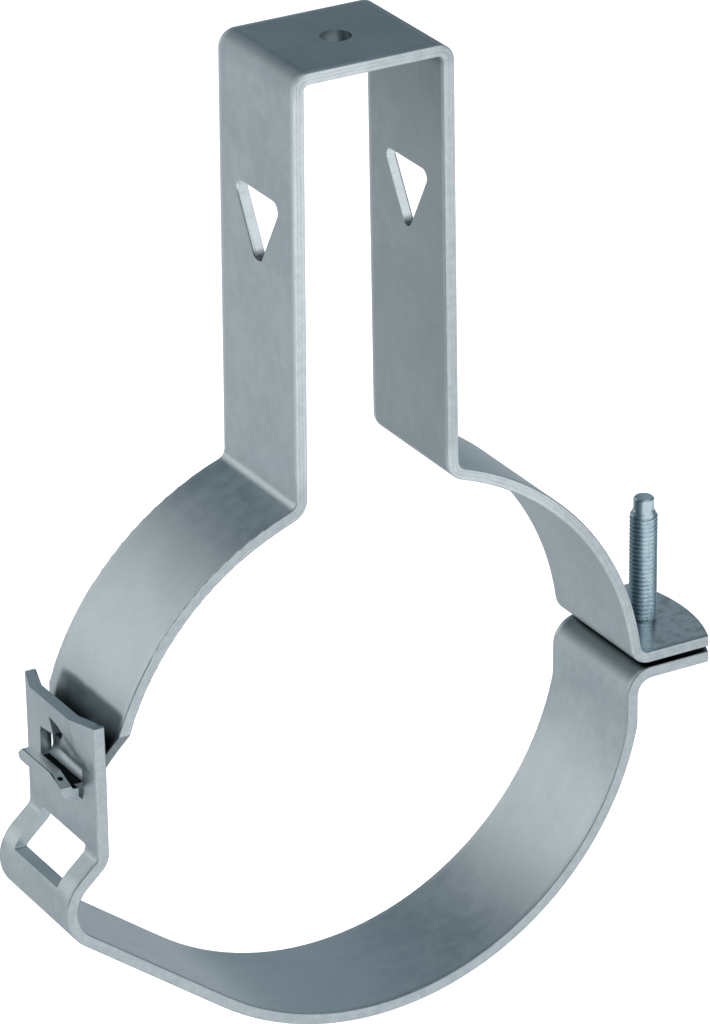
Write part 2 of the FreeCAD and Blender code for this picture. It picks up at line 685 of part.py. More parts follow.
def cut_stirrup_window(body):
    """Cuts the window in the upper slope of the stirrup."""
    inside = f"-{PLATE_REACH} + Sizes.strip_thickness + {CUT_MARGIN}"
    sketch = new_sketch(body, "stirrup_window_outline", "YZ_Plane", inside)
    low = "-Sizes.stirrup_window_bottom - Sizes.pipe_hang"
    high = "-Sizes.stirrup_window_top - Sizes.pipe_hang"
    left, right = "-Sizes.stirrup_window_reach", "Sizes.stirrup_window_far_reach"
    rounded_box(sketch, left, right, low, high, "Sizes.stirrup_window_corner")
    pocket(body, sketch, "stirrup_window")


def clamp_screw():
    """The screw: its head under the lower ear, its threaded shank up through both ears and its dog point."""
    body = new_body("clamp_screw")
    seat = f"({STRAP_EAR_TOP} - Sizes.strip_thickness)"
    tip, underside = f"({seat} + Sizes.screw_length)", f"({seat} - Sizes.head_height)"
    shank, dog = "Sizes.screw_diameter / 2", "Sizes.dog_diameter / 2"
    corner_half = "(Sizes.head_flats / 2 / cos(30 deg))"
    sketch = new_sketch(body, "head_outline", "XY_Plane", underside)
    sketch.setExpression("AttachmentOffset.Base.x", SCREW_REACH)
    flat, half_flat = "Sizes.head_flats / 2", f"{corner_half} / 2"
    polygon(sketch, [
        (corner_half, "0"),
        (half_flat, flat),
        (f"-{half_flat}", flat),
        (f"-{corner_half}", "0"),
        (f"-{half_flat}", f"-{flat}"),
        (half_flat, f"-{flat}"),
    ])
    head = body.newObject("PartDesign::Pad", "head")
    head.Profile = sketch
    head.setExpression("Length", "Sizes.head_height")
    doc.recompute()
    sketch = new_sketch(body, "shank_outline", "XZ_Plane")
    sketch.setExpression("AttachmentOffset.Base.x", SCREW_REACH)
    polygon(sketch, [
        ("0", f"{seat} - Sizes.head_height / 2"),
        (shank, f"{seat} - Sizes.head_height / 2"),
        (shank, f"{tip} - Sizes.dog_length - Sizes.dog_taper"),
        (dog, f"{tip} - Sizes.dog_length"),
        (dog, tip),
        ("0", tip),
    ])
    shaft = body.newObject("PartDesign::Revolution", "shank")
    shaft.Profile = sketch
    shaft.ReferenceAxis = (sketch, ["V_Axis"])
    doc.recompute()
    sketch = new_sketch(body, "bevel_outline", "XZ_Plane")
    sketch.setExpression("AttachmentOffset.Base.x", SCREW_REACH)
    beyond = f"{corner_half} * 2"
    bevel_top = f"{underside} + ({beyond} - {flat}) * tan(Sizes.head_bevel * 1 deg)"
    polygon(sketch, [(flat, underside), (beyond, underside), (beyond, bevel_top)])
    before = body.Shape.Volume
    bevel = body.newObject("PartDesign::Groove", "head_bevel")
    bevel.Profile = sketch
    bevel.ReferenceAxis = (sketch, ["V_Axis"])
    doc.recompute()
    if body.Shape.Volume >= before - CONTACT:
        raise RuntimeError("the bevel removes nothing")
    return body


def main():
    """Builds the three pieces, checks them and writes one file for each."""
    bodies = [upper_band(), lower_band(), clamp_screw()]
    doc.recompute()
    for item in doc.Objects:
        if "Invalid" in item.State or "Error" in item.State:
            raise RuntimeError(f"{item.Name} failed: {item.State}")
    os.makedirs("parts", exist_ok=True)
    for body in bodies:
        shape = body.Shape
        if shape.isNull() or not shape.isValid() or len(shape.Solids) != 1:
            raise RuntimeError(f"{body.Label} is not one valid solid")
    for body in bodies:
        body.Shape.exportStep(f"parts/{body.Label}.step")
        print(body.Label, round(body.Shape.Volume, 1))


main()
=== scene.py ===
"""Looks of the pipe bracket.

Two galvanised bands, the zinc-plated clamp screw with its thread, and the floor, light and camera.
"""

import math

import bpy
import numpy as np
from mathutils import Matrix, Vector


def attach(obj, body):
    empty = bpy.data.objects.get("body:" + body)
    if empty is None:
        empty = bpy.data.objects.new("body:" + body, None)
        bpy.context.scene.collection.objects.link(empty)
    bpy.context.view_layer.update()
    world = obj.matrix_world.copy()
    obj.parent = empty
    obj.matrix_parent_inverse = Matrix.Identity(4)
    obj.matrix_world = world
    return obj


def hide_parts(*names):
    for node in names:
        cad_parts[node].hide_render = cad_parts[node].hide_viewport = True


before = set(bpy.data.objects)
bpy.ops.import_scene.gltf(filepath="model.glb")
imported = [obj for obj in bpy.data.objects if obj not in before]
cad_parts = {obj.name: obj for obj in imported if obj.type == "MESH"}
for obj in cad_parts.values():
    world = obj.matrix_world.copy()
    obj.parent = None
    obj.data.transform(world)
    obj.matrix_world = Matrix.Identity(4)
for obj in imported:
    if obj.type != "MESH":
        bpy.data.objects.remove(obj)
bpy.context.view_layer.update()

MM = 0.001

# Bands, in millimetres: skins and centres of the side view, read across the strip's thickness
STRIP = 3.3
EDGE_AT = 20.0
PIPE_RISE = -200.0
OUTER_RING = 83.3
LEG_FACE = 23.8
LEG_SPLAY = math.tan(math.radians(0.4))
EAR_TOP = -190.5
EAR_UNDERSIDE = EAR_TOP - STRIP
EAR_GAP_REACH = 5.0
BEND_BLEND = 4.0
SOFT_EDGE = 2.3
CUT_FACE_EDGE = 0.4

# Shares of open directions above which a surface counts as open, and below which as closed in
OPEN_ENOUGH = 0.75
CLOSED_ENOUGH = 0.35

# Holes in the upper band, in millimetres, with one share of the thickness: each pair is a range
HOLE_RADIUS = 4.2
WINDOW_WIDTH = (-11.0, 11.0)
WINDOW_RISE = (-58.0, -37.6)
WINDOW_ACROSS = (20.0, 25.0)
WINDOW_DEPTH_SHARE = (0.08, 0.94)

# Tongue and hook, in millimetres: each pair is a range
TAPER_START = -173.0
TAPER_END = -189.4
NECK_HALF = 10.0
HEAD_HALF = 12.2
HEAD_START = -86.9
TONGUE_OFFSET = 0.8
HOOK_TOP = -186.5
NEAR_BEVEL = (-11.4, -5.2)
NEAR_BEVEL_DROP = 2.1
FAR_BEVEL = (11.1, 13.0)
FAR_BEVEL_DROP = 1.8
DARK_SPOT_PLACE = (-90.4, -7.9, -187.4)

# Patch of the upper band that the end plate covers, where painted shadow goes, in millimetres
PATCH_FAR_SIDE = 15.5
PATCH_TOP = -167.9
PATCH_ROUNDING = 5.0

# Slanting dent and round dent on the end plate, sunk and darkened with painted shade, in millimetres
SLANT_DENT_MIDDLE = (-8.5, -179.4)
SLANT_DENT_SLOPE = 0.54
SLANT_DENT_HALF = 2.5
DENT_PLACE = (-86.0, -18.6, -181.0)
DENT_RADIUS = 3.0

# Clamp screw: sizes and heights in millimetres, shares, counts, and one angle in degrees
SCREW_X = 95.5
HEAD_LOW = -203.9
HEAD_SEAT = -198.6
HEAD_FLATS = 13.0
HEAD_BEVEL = math.tan(math.radians(30))
HEAD_BEVEL_RINGS = 5
HEAD_CORNER = 0.12
HEAD_INNER_RINGS = (0.4, 0.8, 0.98)
SEAT_MARGIN = 0.4
THREAD_RADIUS = 3.95
THREAD_PITCH = 1.25
THREAD_DEPTH = 0.74
THREAD_STEPS = 18
THREAD_LOW = -197.7
ROOT_SHARE = 0.22
FLANK_SHARE = 0.62
TAPER_LOW = -159.3
TAPER_HIGH = -157.3
DOG_RADIUS = 2.9
DOG_CHAMFER = 0.45
DOG_FOOT = 0.2
DOG_INNER_RING = 0.4
TIP = -153.8
SCREW_SIDES = 72
SHARP_ANGLE = 32

# Colours, as linear red, green, blue and opacity
DARK_ZINC = (0.563, 0.621, 0.645, 1)
PALE_ZINC = (0.679, 0.735, 0.756, 1)
# Dark zinc for painted shade in crevices and hollows, and for real scuffs on the ear
SHADE_AND_SCUFF_ZINC = (0.083, 0.118, 0.124, 1)
GREY_EDGE = (0.52, 0.575, 0.60, 1)
BRIGHT_EDGE = (0.93, 0.97, 0.975, 1)
EDGE_LINE = (0.32, 0.37, 0.39, 1)
# Nearly black, for painted shade in corners, gaps and crevices
SHADE_BLACK = (0.006, 0.010, 0.011, 1)
BLUE_PLATE = (0.66, 0.78, 0.84, 1)
PALE_PLATE = (0.80, 0.90, 0.94, 1)
# Painted shade on the screw's side by the band
SHADED_PLATE = (0.16, 0.23, 0.27, 1)
PALE_FLOOR = (0.80, 0.81, 0.82, 1)
CEILING = (0.110, 0.150, 0.178, 1)
FAR_WALL = (0.85, 0.885, 0.88, 1)
FRONT_GLOW = (0.85, 0.90, 0.93, 1)
HAZE = (0.88, 1.0, 1.06, 1)
WHITE = (1, 1, 1, 1)

# Zinc coat: the noises' usual range, how far each swings a tone that is 0 where dark and 1 where
# pale, how much they are squeezed along each axis, and the roughness and the relief in millimetres
NOISE_LOW = 0.3
NOISE_HIGH = 0.7
CLOUD_SWING = 0.38
LINES_SWING = 0.13
MOTTLE_SWING = 0.32
GRAIN_SWING = 0.18
ROLLING_STRETCH = (0.04, 2.0, 0.04)
STREAK_STRETCH = (0.35, 2.5, 0.35)
ZINC_METALLIC = 0.97
ZINC_ROUGHNESS = (0.33, 0.43)
ZINC_RELIEF = 0.012
DENT_RELIEF = 0.9

# Two lines along the sheared edge: places as shares of the thickness, and the groove in millimetres
LINES_MIDDLE = 0.43
LINES_APART = 0.28
LINE_SHARPNESS = (0.02, 0.10)
LINE_STRENGTH = 0.26
LINE_GROOVE = 0.03

# Screw's plate: painted shade darkens the side by the band, growing against a level direction over a
# reach in millimetres
PLATE_ROUGHNESS = (0.18, 0.28)
PLATE_RELIEF = 0.01
SIDE_SHADE_DIRECTION = (0.870, -0.494)
SIDE_SHADE_REACH = (0.5, -3.2)
SIDE_SHADE_STRENGTH = 0.70

# Floor, haze card, lamps and camera: places in metres, the lens and its sensor in millimetres
FLOOR_RISE = -0.45
FLOOR_HALF = 6.0
FLOOR_SHADE_PLACE = (0.0, 0.30, 0.0)
CARD_PLACE = 0.55
CARD_LOW = -0.45
CARD_HIGH = 0.40
CARD_LEFT = -0.05
CARD_RIGHT = 1.4
CARD_STRENGTH = 0.220
LAMP_AIM = (0, 0, -0.15)
CAMERA_PLACE = Vector((-0.69955, -1.23894, 0.53395))
CAMERA_AZIMUTH = math.radians(-29.592)
CAMERA_ELEVATION = math.radians(25.191)
CAMERA_ROLL = math.radians(-0.708)
CAMERA_LENS = 207.3
SENSOR_WIDTH = 36.0
CLIP_NEAR = 0.1
CLIP_FAR = 50.0


def closed_grid(name, radius, height, centre):
    """A skin wound round an upright axis: row i at angle j stands at radius[i, j] and height[i, j].

    The first and last rows close in one point each, half way between that row's heights.
    """
    rows, columns = radius.shape
    turn = np.arange(columns) * (2 * math.pi / columns)
    points = np.stack(
        [radius * np.cos(turn) + centre[0], radius * np.sin(turn) + centre[1], height],
        axis=-1,
    ).reshape(-1, 3)
    poles = [(*centre, height[0].mean()), (*centre, height[-1].mean())]
    points = np.vstack([points, poles])
    here = np.arange(rows * columns).reshape(rows, columns)
    beside = np.roll(here, -1, axis=1)
    quads = np.stack([here[:-1], beside[:-1], beside[1:], here[1:]], axis=-1)
    bottom, top = rows * columns, rows * columns + 1
    fans = [
        np.stack([beside[0], here[0], np.full(columns, bottom)], axis=-1),
        np.stack([here[-1], beside[-1], np.full(columns, top)], axis=-1),
    ]
    faces = quads.reshape(-1, 4).tolist() + np.vstack(fans).tolist()
    mesh = bpy.data.meshes.new(name)
    mesh.from_pydata((points * MM).tolist(), [], faces)
    mesh.validate()
    return mesh


def placed(name, data):
    """An object for a mesh, lamp or camera, in the scene."""
    thing = bpy.data.objects.new(name, data)
    bpy.context.scene.collection.objects.link(thing)
    return thing


def sheet(name, corners):
    """A flat mesh of one face with these corners."""
    mesh = bpy.data.meshes.new(name)
    mesh.from_pydata(corners, [], [tuple(range(len(corners)))])
    return mesh


def thread_radius(height, turn):
    """Radius of a right-hand thread at a height and a turn.

    It is a trapezium wave of the height, counted in pitches, less the turn's share of a full one.
    """
    phase = (height / THREAD_PITCH - turn / (2 * math.pi)) % 1.0
    from_root = 1 - np.abs(2 * phase - 1)
    flank = np.clip((from_root - ROOT_SHARE) / FLANK_SHARE, 0, 1)
    return THREAD_RADIUS - THREAD_DEPTH * (1 - flank)


def clamp_screw():
    """Head, thread, taper and dog point as one skin of rings round the screw's axis.

    A ring of the head follows the hexagon: half the flats over the cosine of the turn from the
    middle of a flat, cut off by the bevel. A ring of the thread follows the helix, which runs out
    towards the head and is cut off by the taper's cone.
    """
    turn = np.arange(SCREW_SIDES) * (2 * math.pi / SCREW_SIDES)
    sixth = math.pi / 3
    flat = HEAD_FLATS / 2
    hexagon = flat / np.cos(turn % sixth - sixth / 2)
    heights, radii = [], []

    def ring(height, radius):
        """Adds a ring. Its height and radius are each one number, or one for each angle."""
        heights.append(np.broadcast_to(height, turn.shape).astype(float))
        radii.append(np.broadcast_to(radius, turn.shape).astype(float))

    for share in HEAD_INNER_RINGS:
        ring(HEAD_LOW, flat * share)
    for share in np.linspace(1.0, 1.0 / math.cos(sixth / 2), HEAD_BEVEL_RINGS):
        radius = np.minimum(hexagon, flat * share)
        ring(HEAD_LOW + (radius - flat) * HEAD_BEVEL, radius)
    ring(HEAD_SEAT - HEAD_CORNER, hexagon)
    ring(HEAD_SEAT, hexagon - HEAD_CORNER)
    ring(HEAD_SEAT, THREAD_RADIUS + SEAT_MARGIN)
    ring(HEAD_SEAT, THREAD_RADIUS)
    for level in np.arange(THREAD_LOW, TAPER_HIGH, THREAD_PITCH / THREAD_STEPS):
        run_out = np.clip((level - THREAD_LOW) / THREAD_PITCH, 0, 1)
        threaded = THREAD_RADIUS + (thread_radius(level, turn) - THREAD_RADIUS) * run_out
        tapered = np.clip((level - TAPER_LOW) / (TAPER_HIGH - TAPER_LOW), 0, 1)
        cone = THREAD_RADIUS + (DOG_RADIUS - THREAD_RADIUS) * tapered
        ring(level, np.minimum(threaded, cone))
    ring(TAPER_HIGH, DOG_RADIUS)
    ring(TAPER_HIGH + DOG_FOOT, DOG_RADIUS)
    ring(TIP - DOG_CHAMFER, DOG_RADIUS)
    ring(TIP, DOG_RADIUS - DOG_CHAMFER)
    ring(TIP, DOG_RADIUS * DOG_INNER_RING)

    name = "threaded_screw"
    mesh = closed_grid(name, np.array(radii), np.array(heights), (SCREW_X, 0.0))
    mesh.polygons.foreach_set("use_smooth", np.ones(len(mesh.polygons), dtype=bool))
    mesh.set_sharp_from_angle(angle=math.radians(SHARP_ANGLE))
    return placed(name, mesh)


class Wiring:
    """Adds nodes to one tree and joins them, with sockets and plain values alike."""

    def __init__(self, tree):
        self.tree = tree
        tree.nodes.clear()

    def add(self, kind, inputs=None, **settings):
        """A new node with its settings and inputs."""
        node = self.tree.nodes.new(kind)
        for name, value in settings.items():
            setattr(node, name, value)
        for socket, value in (inputs or {}).items():
            if isinstance(value, bpy.types.NodeSocket):
                self.tree.links.new(value, node.inputs[socket])
            else:
                node.inputs[socket].default_value = value
        return node

    def math(self, operation, *values, clamp=False):
        """One sum on numbers."""
        node = self.add("ShaderNodeMath", dict(enumerate(values)), operation=operation)
        node.use_clamp = clamp
        return node.outputs[0]

    def plus(self, one, other, clamp=False):
        """The sum of two values, held between 0 and 1 if clamp is set."""
        return self.math("ADD", one, other, clamp=clamp)

    def less(self, one, other):
        """The first value less the second."""
        return self.math("SUBTRACT", one, other)

    def times(self, *values):
        """The product of the values. For masks it is where all of them lie."""
        product = values[0]
        for value in values[1:]:
            product = self.math("MULTIPLY", product, value)
        return product

    def most(self, *values):
        """The greatest of the values. For masks it is where any of them lies."""
        greatest = values[0]
        for value in values[1:]:
            greatest = self.math("MAXIMUM", greatest, value)
        return greatest

    def unsigned(self, value):
        """The value without its sign."""
        return self.math("ABSOLUTE", value)

    def hypotenuse(self, one, other):
        """The square root of the sum of the two squares."""
        squares = self.plus(self.math("POWER", one, 2.0), self.math("POWER", other, 2.0))
        return self.math("SQRT", squares)

    def place(self):
        """Object coordinates, in metres."""
        return self.add("ShaderNodeTexCoord").outputs["Object"]

    def place_in_mm(self):
        """Object coordinates, in millimetres."""
        return self.stretch(self.place(), (1 / MM, 1 / MM, 1 / MM))

    def axes(self, vector):
        """The vector's parts along X, Y and Z."""
        return self.add("ShaderNodeSeparateXYZ", {0: vector}).outputs

    def distance(self, place, point):
        """How far a place lies from a point."""
        node = self.add("ShaderNodeVectorMath", {0: place, 1: point}, operation="DISTANCE")
        return node.outputs["Value"]

    def stretch(self, vector, scale):
        """The vector, scaled along each axis."""
        return self.add("ShaderNodeMapping", {"Vector": vector, "Scale": scale}).outputs[0]

    def noise(self, vector, scale, detail=3.0, roughness=0.5, distortion=0.0):
        """Cloudy values round one half."""
        inputs = {"Vector": vector, "Scale": scale, "Detail": detail}
        inputs.update({"Roughness": roughness, "Distortion": distortion})
        return self.add("ShaderNodeTexNoise", inputs).outputs["Fac"]

    def ramp(self, value, low, high, out_low=0.0, out_high=1.0, smooth=True):
        """The value's range low to high, spread over the range out_low to out_high."""
        inputs = {"Value": value, "From Min": low, "From Max": high}
        inputs.update({"To Min": out_low, "To Max": out_high})
        kind = "SMOOTHSTEP" if smooth else "LINEAR"
        return self.add("ShaderNodeMapRange", inputs, interpolation_type=kind).outputs[0]

    def spread(self, cloudy, low, high):
        """Cloudy values, from NOISE_LOW to NOISE_HIGH, spread over the range low to high."""
        return self.ramp(cloudy, NOISE_LOW, NOISE_HIGH, low, high)

    def swing(self, cloudy, reach):
        """Cloudy values, spread to either side of 0 by the reach."""
        return self.spread(cloudy, -reach, reach)

    def band(self, value, low, high, soft):
        """1 where the value lies between low and high, falling to 0 over a soft margin outside."""
        above = self.ramp(value, low - soft, low)
        below = self.ramp(value, high + soft, high)
        return self.times(above, below)

    def closed_in(self, distance):
        """1 where surfaces within the distance in metres lie over this one, and 0 in the open."""
        node = self.add("ShaderNodeAmbientOcclusion", {"Distance": distance}, samples=16)
        open_share = node.outputs["AO"]
        return self.ramp(open_share, OPEN_ENOUGH, CLOSED_ENOUGH)

    def mix(self, share, one, other):
        """One colour to the other by a share."""
        inputs = {0: share, 6: one, 7: other}
        return self.add("ShaderNodeMix", inputs, data_type="RGBA").outputs[2]

    def bump(self, height, distance, normal=None):
        """The surface's normal, tilted by a relief of the height times the distance in metres."""
        inputs = {"Height": height, "Distance": distance}
        if normal is not None:
            inputs["Normal"] = normal
        return self.add("ShaderNodeBump", inputs).outputs[0]

    def principled(self, inputs):
        """Gives the surface a Principled shader with these inputs."""
        shader = self.add("ShaderNodeBsdfPrincipled", inputs)
        self.add("ShaderNodeOutputMaterial", {"Surface": shader.outputs[0]})


def new_material(name):
    """A new material, with the wiring of its empty tree."""
    material = bpy.data.materials.new(name)
    material.use_nodes = True
    return material, Wiring(material.node_tree)


def sheared(wiring, from_edge):
    """1 on the sheared edge, fading into the skin over the soft margin, where the bare colour paints
    the rounded corner's highlight onto the skin.
    """
    return wiring.ramp(from_edge, SOFT_EDGE, CUT_FACE_EDGE)


def rolled_away(wiring, from_edge, share):
    """How far the skin has rolled away beside an edge: the square of the way into the soft margin."""
    way = wiring.ramp(from_edge, SOFT_EDGE, 0.0, smooth=False)
    return wiring.times(wiring.math("POWER", way, 2.0), share)


def edge_lines(wiring, in_mm, mottle, mark):
    """Two broken lines along the sheared edge, at even distances from the middle of the pair."""
    waver = wiring.noise(in_mm, scale=0.15, detail=2.0)
    depth = wiring.plus(mark["depth"], wiring.swing(waver, 0.04))
    off_middle = wiring.unsigned(wiring.less(depth, LINES_MIDDLE))
    off_line = wiring.unsigned(wiring.less(off_middle, LINES_APART / 2))
    on_line = wiring.ramp(off_line, *LINE_SHARPNESS, 1.0, 0.0)
    broken = wiring.ramp(mottle, 0.40, 0.60, 0.6, 1.0)
    return wiring.times(on_line, mark["edge"], broken, mark["lined"])


def galvanised(name, marks):
    """Zinc-coated strip: cloudy grey zinc, fine rolling lines along it, and bright sheared edges.

    The marks say where a band is darkened by painted shade or scuffed, sheared, worn or given painted
    sheen, painted black as shade, rough, dented or lined.
    """
    material, wiring = new_material(name)
    in_mm = wiring.place_in_mm()
    mark = marks(wiring, in_mm)

    cloud = wiring.noise(in_mm, scale=0.045, detail=4.0, roughness=0.55, distortion=0.4)
    mottle = wiring.noise(in_mm, scale=0.24, detail=5.0, roughness=0.6)
    grain = wiring.noise(in_mm, scale=2.2, detail=2.0, roughness=0.6)
    for_lines = wiring.stretch(in_mm, ROLLING_STRETCH)
    lines = wiring.noise(for_lines, scale=1.0, detail=4.0, roughness=0.6)
    for_streaks = wiring.stretch(in_mm, STREAK_STRETCH)
    streaks = wiring.noise(for_streaks, scale=1.0, detail=3.0, roughness=0.6)

    tone = wiring.swing(cloud, CLOUD_SWING)
    for noise, reach in ((lines, LINES_SWING), (mottle, MOTTLE_SWING), (grain, GRAIN_SWING)):
        tone = wiring.plus(tone, wiring.swing(noise, reach))
    tone = wiring.plus(tone, 0.5, clamp=True)
    zinc = wiring.mix(tone, DARK_ZINC, PALE_ZINC)
    # Painted shade, and real scuffs: the zinc darkens where this mark is set
    zinc = wiring.mix(mark["shade_and_scuffs"], zinc, SHADE_AND_SCUFF_ZINC)
    # Bare steel on the sheared edges: partly real wear, partly a painted highlight set by place
    wear_and_sheen = wiring.plus(mark["wear_and_sheen"], wiring.swing(grain, 0.10))
    wear_and_sheen = wiring.plus(wear_and_sheen, wiring.swing(streaks, 0.13), clamp=True)
    bare = wiring.mix(wear_and_sheen, GREY_EDGE, BRIGHT_EDGE)
    colour = wiring.mix(mark["edge"], zinc, bare)

    rough = wiring.spread(mottle, *ZINC_ROUGHNESS)
    rough = wiring.plus(rough, wiring.swing(cloud, 0.02))
    rough = wiring.plus(rough, mark["rough"])
    relief = wiring.plus(wiring.times(lines, 0.25), wiring.times(grain, 0.6))
    normal = wiring.bump(relief, ZINC_RELIEF * MM)
    normal = wiring.bump(mark["dent"], DENT_RELIEF * MM, normal)

    if "lined" in mark:
        line = edge_lines(wiring, in_mm, mottle, mark)
        colour = wiring.mix(wiring.times(line, LINE_STRENGTH), colour, EDGE_LINE)
        normal = wiring.bump(wiring.times(line, -1.0), LINE_GROOVE * MM, normal)

    # Painted shade: nearly black in corners, gaps and crevices
    colour = wiring.mix(mark["shade_black"], colour, SHADE_BLACK)
    wiring.principled({
        "Base Color": colour, "Metallic": ZINC_METALLIC, "Roughness": rough, "Normal": normal,
    })
    return material


def outer_skin_depth(wiring, x, z):
    """Depth under the upper band's outer skin, as a share of the thickness.

    The skin is the union of the ring's disc, the box round the legs and the ground under the ears.
    """
    across = wiring.unsigned(x)
    ring = wiring.less(wiring.hypotenuse(across, wiring.less(z, PIPE_RISE)), OUTER_RING)
    leg = wiring.less(across, wiring.plus(wiring.times(z, -LEG_SPLAY), LEG_FACE))
    box = wiring.math("SMOOTH_MAX", leg, z, BEND_BLEND)
    outside = wiring.math("SMOOTH_MIN", ring, box, BEND_BLEND)
    outside = wiring.math("SMOOTH_MIN", outside, wiring.less(z, EAR_TOP), BEND_BLEND)
    return wiring.math("DIVIDE", outside, -STRIP)


def upper_from_edge(wiring, x, y, z):
    """Distance in from the upper band's sheared edges.

    It is the half width less the distance from the middle line. On the left the half width passes
    from the strip's to the neck's and then the head's, and the middle line shifts with the taper.
    """
    on_left = wiring.ramp(x, -60.0, -65.0)
    taper = wiring.times(wiring.ramp(z, TAPER_START, TAPER_END, smooth=False), on_left)
    head = wiring.ramp(x, HEAD_START + 0.05, HEAD_START - 0.05)
    half = wiring.less(EDGE_AT, wiring.times(taper, EDGE_AT - NECK_HALF))
    half = wiring.plus(half, wiring.times(head, HEAD_HALF - NECK_HALF))
    off_middle = wiring.less(y, wiring.times(taper, TONGUE_OFFSET))
    return wiring.less(half, wiring.unsigned(off_middle))


def hook_end_face(wiring, x, y, z):
    """1 on the hook's end face, which is level between a long near bevel and a short far one."""
    near = wiring.ramp(y, *NEAR_BEVEL, HOOK_TOP - NEAR_BEVEL_DROP, HOOK_TOP, smooth=False)
    far = wiring.ramp(y, *FAR_BEVEL, HOOK_TOP, HOOK_TOP - FAR_BEVEL_DROP, smooth=False)
    below_end = wiring.less(wiring.math("MINIMUM", near, far), z)
    return wiring.times(wiring.ramp(below_end, 0.45, 0.1), wiring.ramp(x, -88.4, -88.7))


def window_cut(wiring, across, y, z, depth):
    """1 on the cut faces of the windows in the legs."""
    border = 0.4
    return wiring.times(
        wiring.band(depth, *WINDOW_DEPTH_SHARE, 0.06),
        wiring.band(y, *WINDOW_WIDTH, border),
        wiring.band(z, *WINDOW_RISE, border),
        wiring.band(across, *WINDOW_ACROSS, border),
    )


def plate_shadow_patch(wiring, in_mm, x, y, z):
    """1 on the upper band's skin behind the end plate, where painted shadow goes, with a smudged
    border and a round corner.
    """
    past_side = wiring.less(y, PATCH_FAR_SIDE)
    past_top = wiring.less(z, PATCH_TOP)
    past = wiring.math("SMOOTH_MAX", past_side, past_top, PATCH_ROUNDING)
    smudge = wiring.swing(wiring.noise(in_mm, scale=0.15, detail=1.0), 0.3)
    within = wiring.ramp(wiring.plus(past, smudge), 0.9, -0.7)
    on_left = wiring.ramp(x, -74.5, -77.5)
    above_hook = wiring.ramp(z, -185.6, -184.4)
    return wiring.times(within, on_left, above_hook)


def upper_shade_and_scuffs(wiring, in_mm, x, y, z, patch, on_ear):
    """Where the upper band is darkened by painted shade or by real scuffs.

    That is painted shade between the legs, behind the end plate and in the mounting hole, a
    little darkening on the top face, and real scuffs on the ear.
    """
    across = wiring.unsigned(x)
    # Painted shade on the inner faces between the legs, heaviest up under the top plate
    shade_between_legs = wiring.times(
        wiring.ramp(across, 21.6, 22.4, 1.0, 0.0),
        wiring.ramp(z, -1.5, -3.2),
        wiring.ramp(z, -45.0, -4.0, 0.27, 0.47),
    )
    # A little darker on the top face
    top_face = wiring.ramp(z, -2.5, -0.3, 0.0, 0.14)
    towards_top = wiring.ramp(z, -168.0, -172.0, 0.86, 0.45)
    towards_foot = wiring.ramp(z, -172.0, -178.0, 0.45, 0.92)
    # Painted shadow behind the end plate, heaviest just under its top edge and low down
    plate_shadow = wiring.times(patch, wiring.most(towards_top, towards_foot))
    from_axis = wiring.hypotenuse(across, y)
    in_hole = wiring.ramp(from_axis, HOLE_RADIUS + 0.2, HOLE_RADIUS + 0.05)
    # Painted shade in the mounting hole's bore, heavier towards +X
    hole_shade = wiring.times(in_hole, wiring.ramp(x, -2.6, 0.2, 0.15, 0.75))
    scuff = wiring.noise(in_mm, scale=0.30, detail=4.0, roughness=0.65)
    scuff = wiring.times(on_ear, wiring.ramp(scuff, 0.46, 0.66, 0.0, 0.38))
    return wiring.most(shade_between_legs, top_face, plate_shadow, hole_shade, scuff)


def upper_wear_and_sheen(wiring, x, z, window, tip):
    """How bright the upper band's cut faces are: bare steel, with a painted highlight set by place.

    The windows and the hook's end are brightest, then come the left leg, the first part of the
    right arc and the right leg, and the rest is dim; the left leg is painted brighter than the
    right, as the light falls.
    """
    on_legs = wiring.ramp(z, -118.0, -110.0)
    left_to_right = wiring.ramp(x, -10.0, 10.0, 0.92, 0.52)
    legs = wiring.times(left_to_right, wiring.ramp(z, -110.0, -30.0, 0.72, 1.0))
    right_arc = wiring.times(wiring.ramp(x, 0.0, 25.0), wiring.ramp(x, 66.0, 46.0), 0.40)
    arcs = wiring.plus(right_arc, wiring.ramp(x, 80.0, 90.0, 0.34, 0.20))
    wear_and_sheen = wiring.plus(arcs, wiring.times(on_legs, wiring.less(legs, arcs)))
    return wiring.most(wear_and_sheen, window, wiring.times(tip, 0.9))


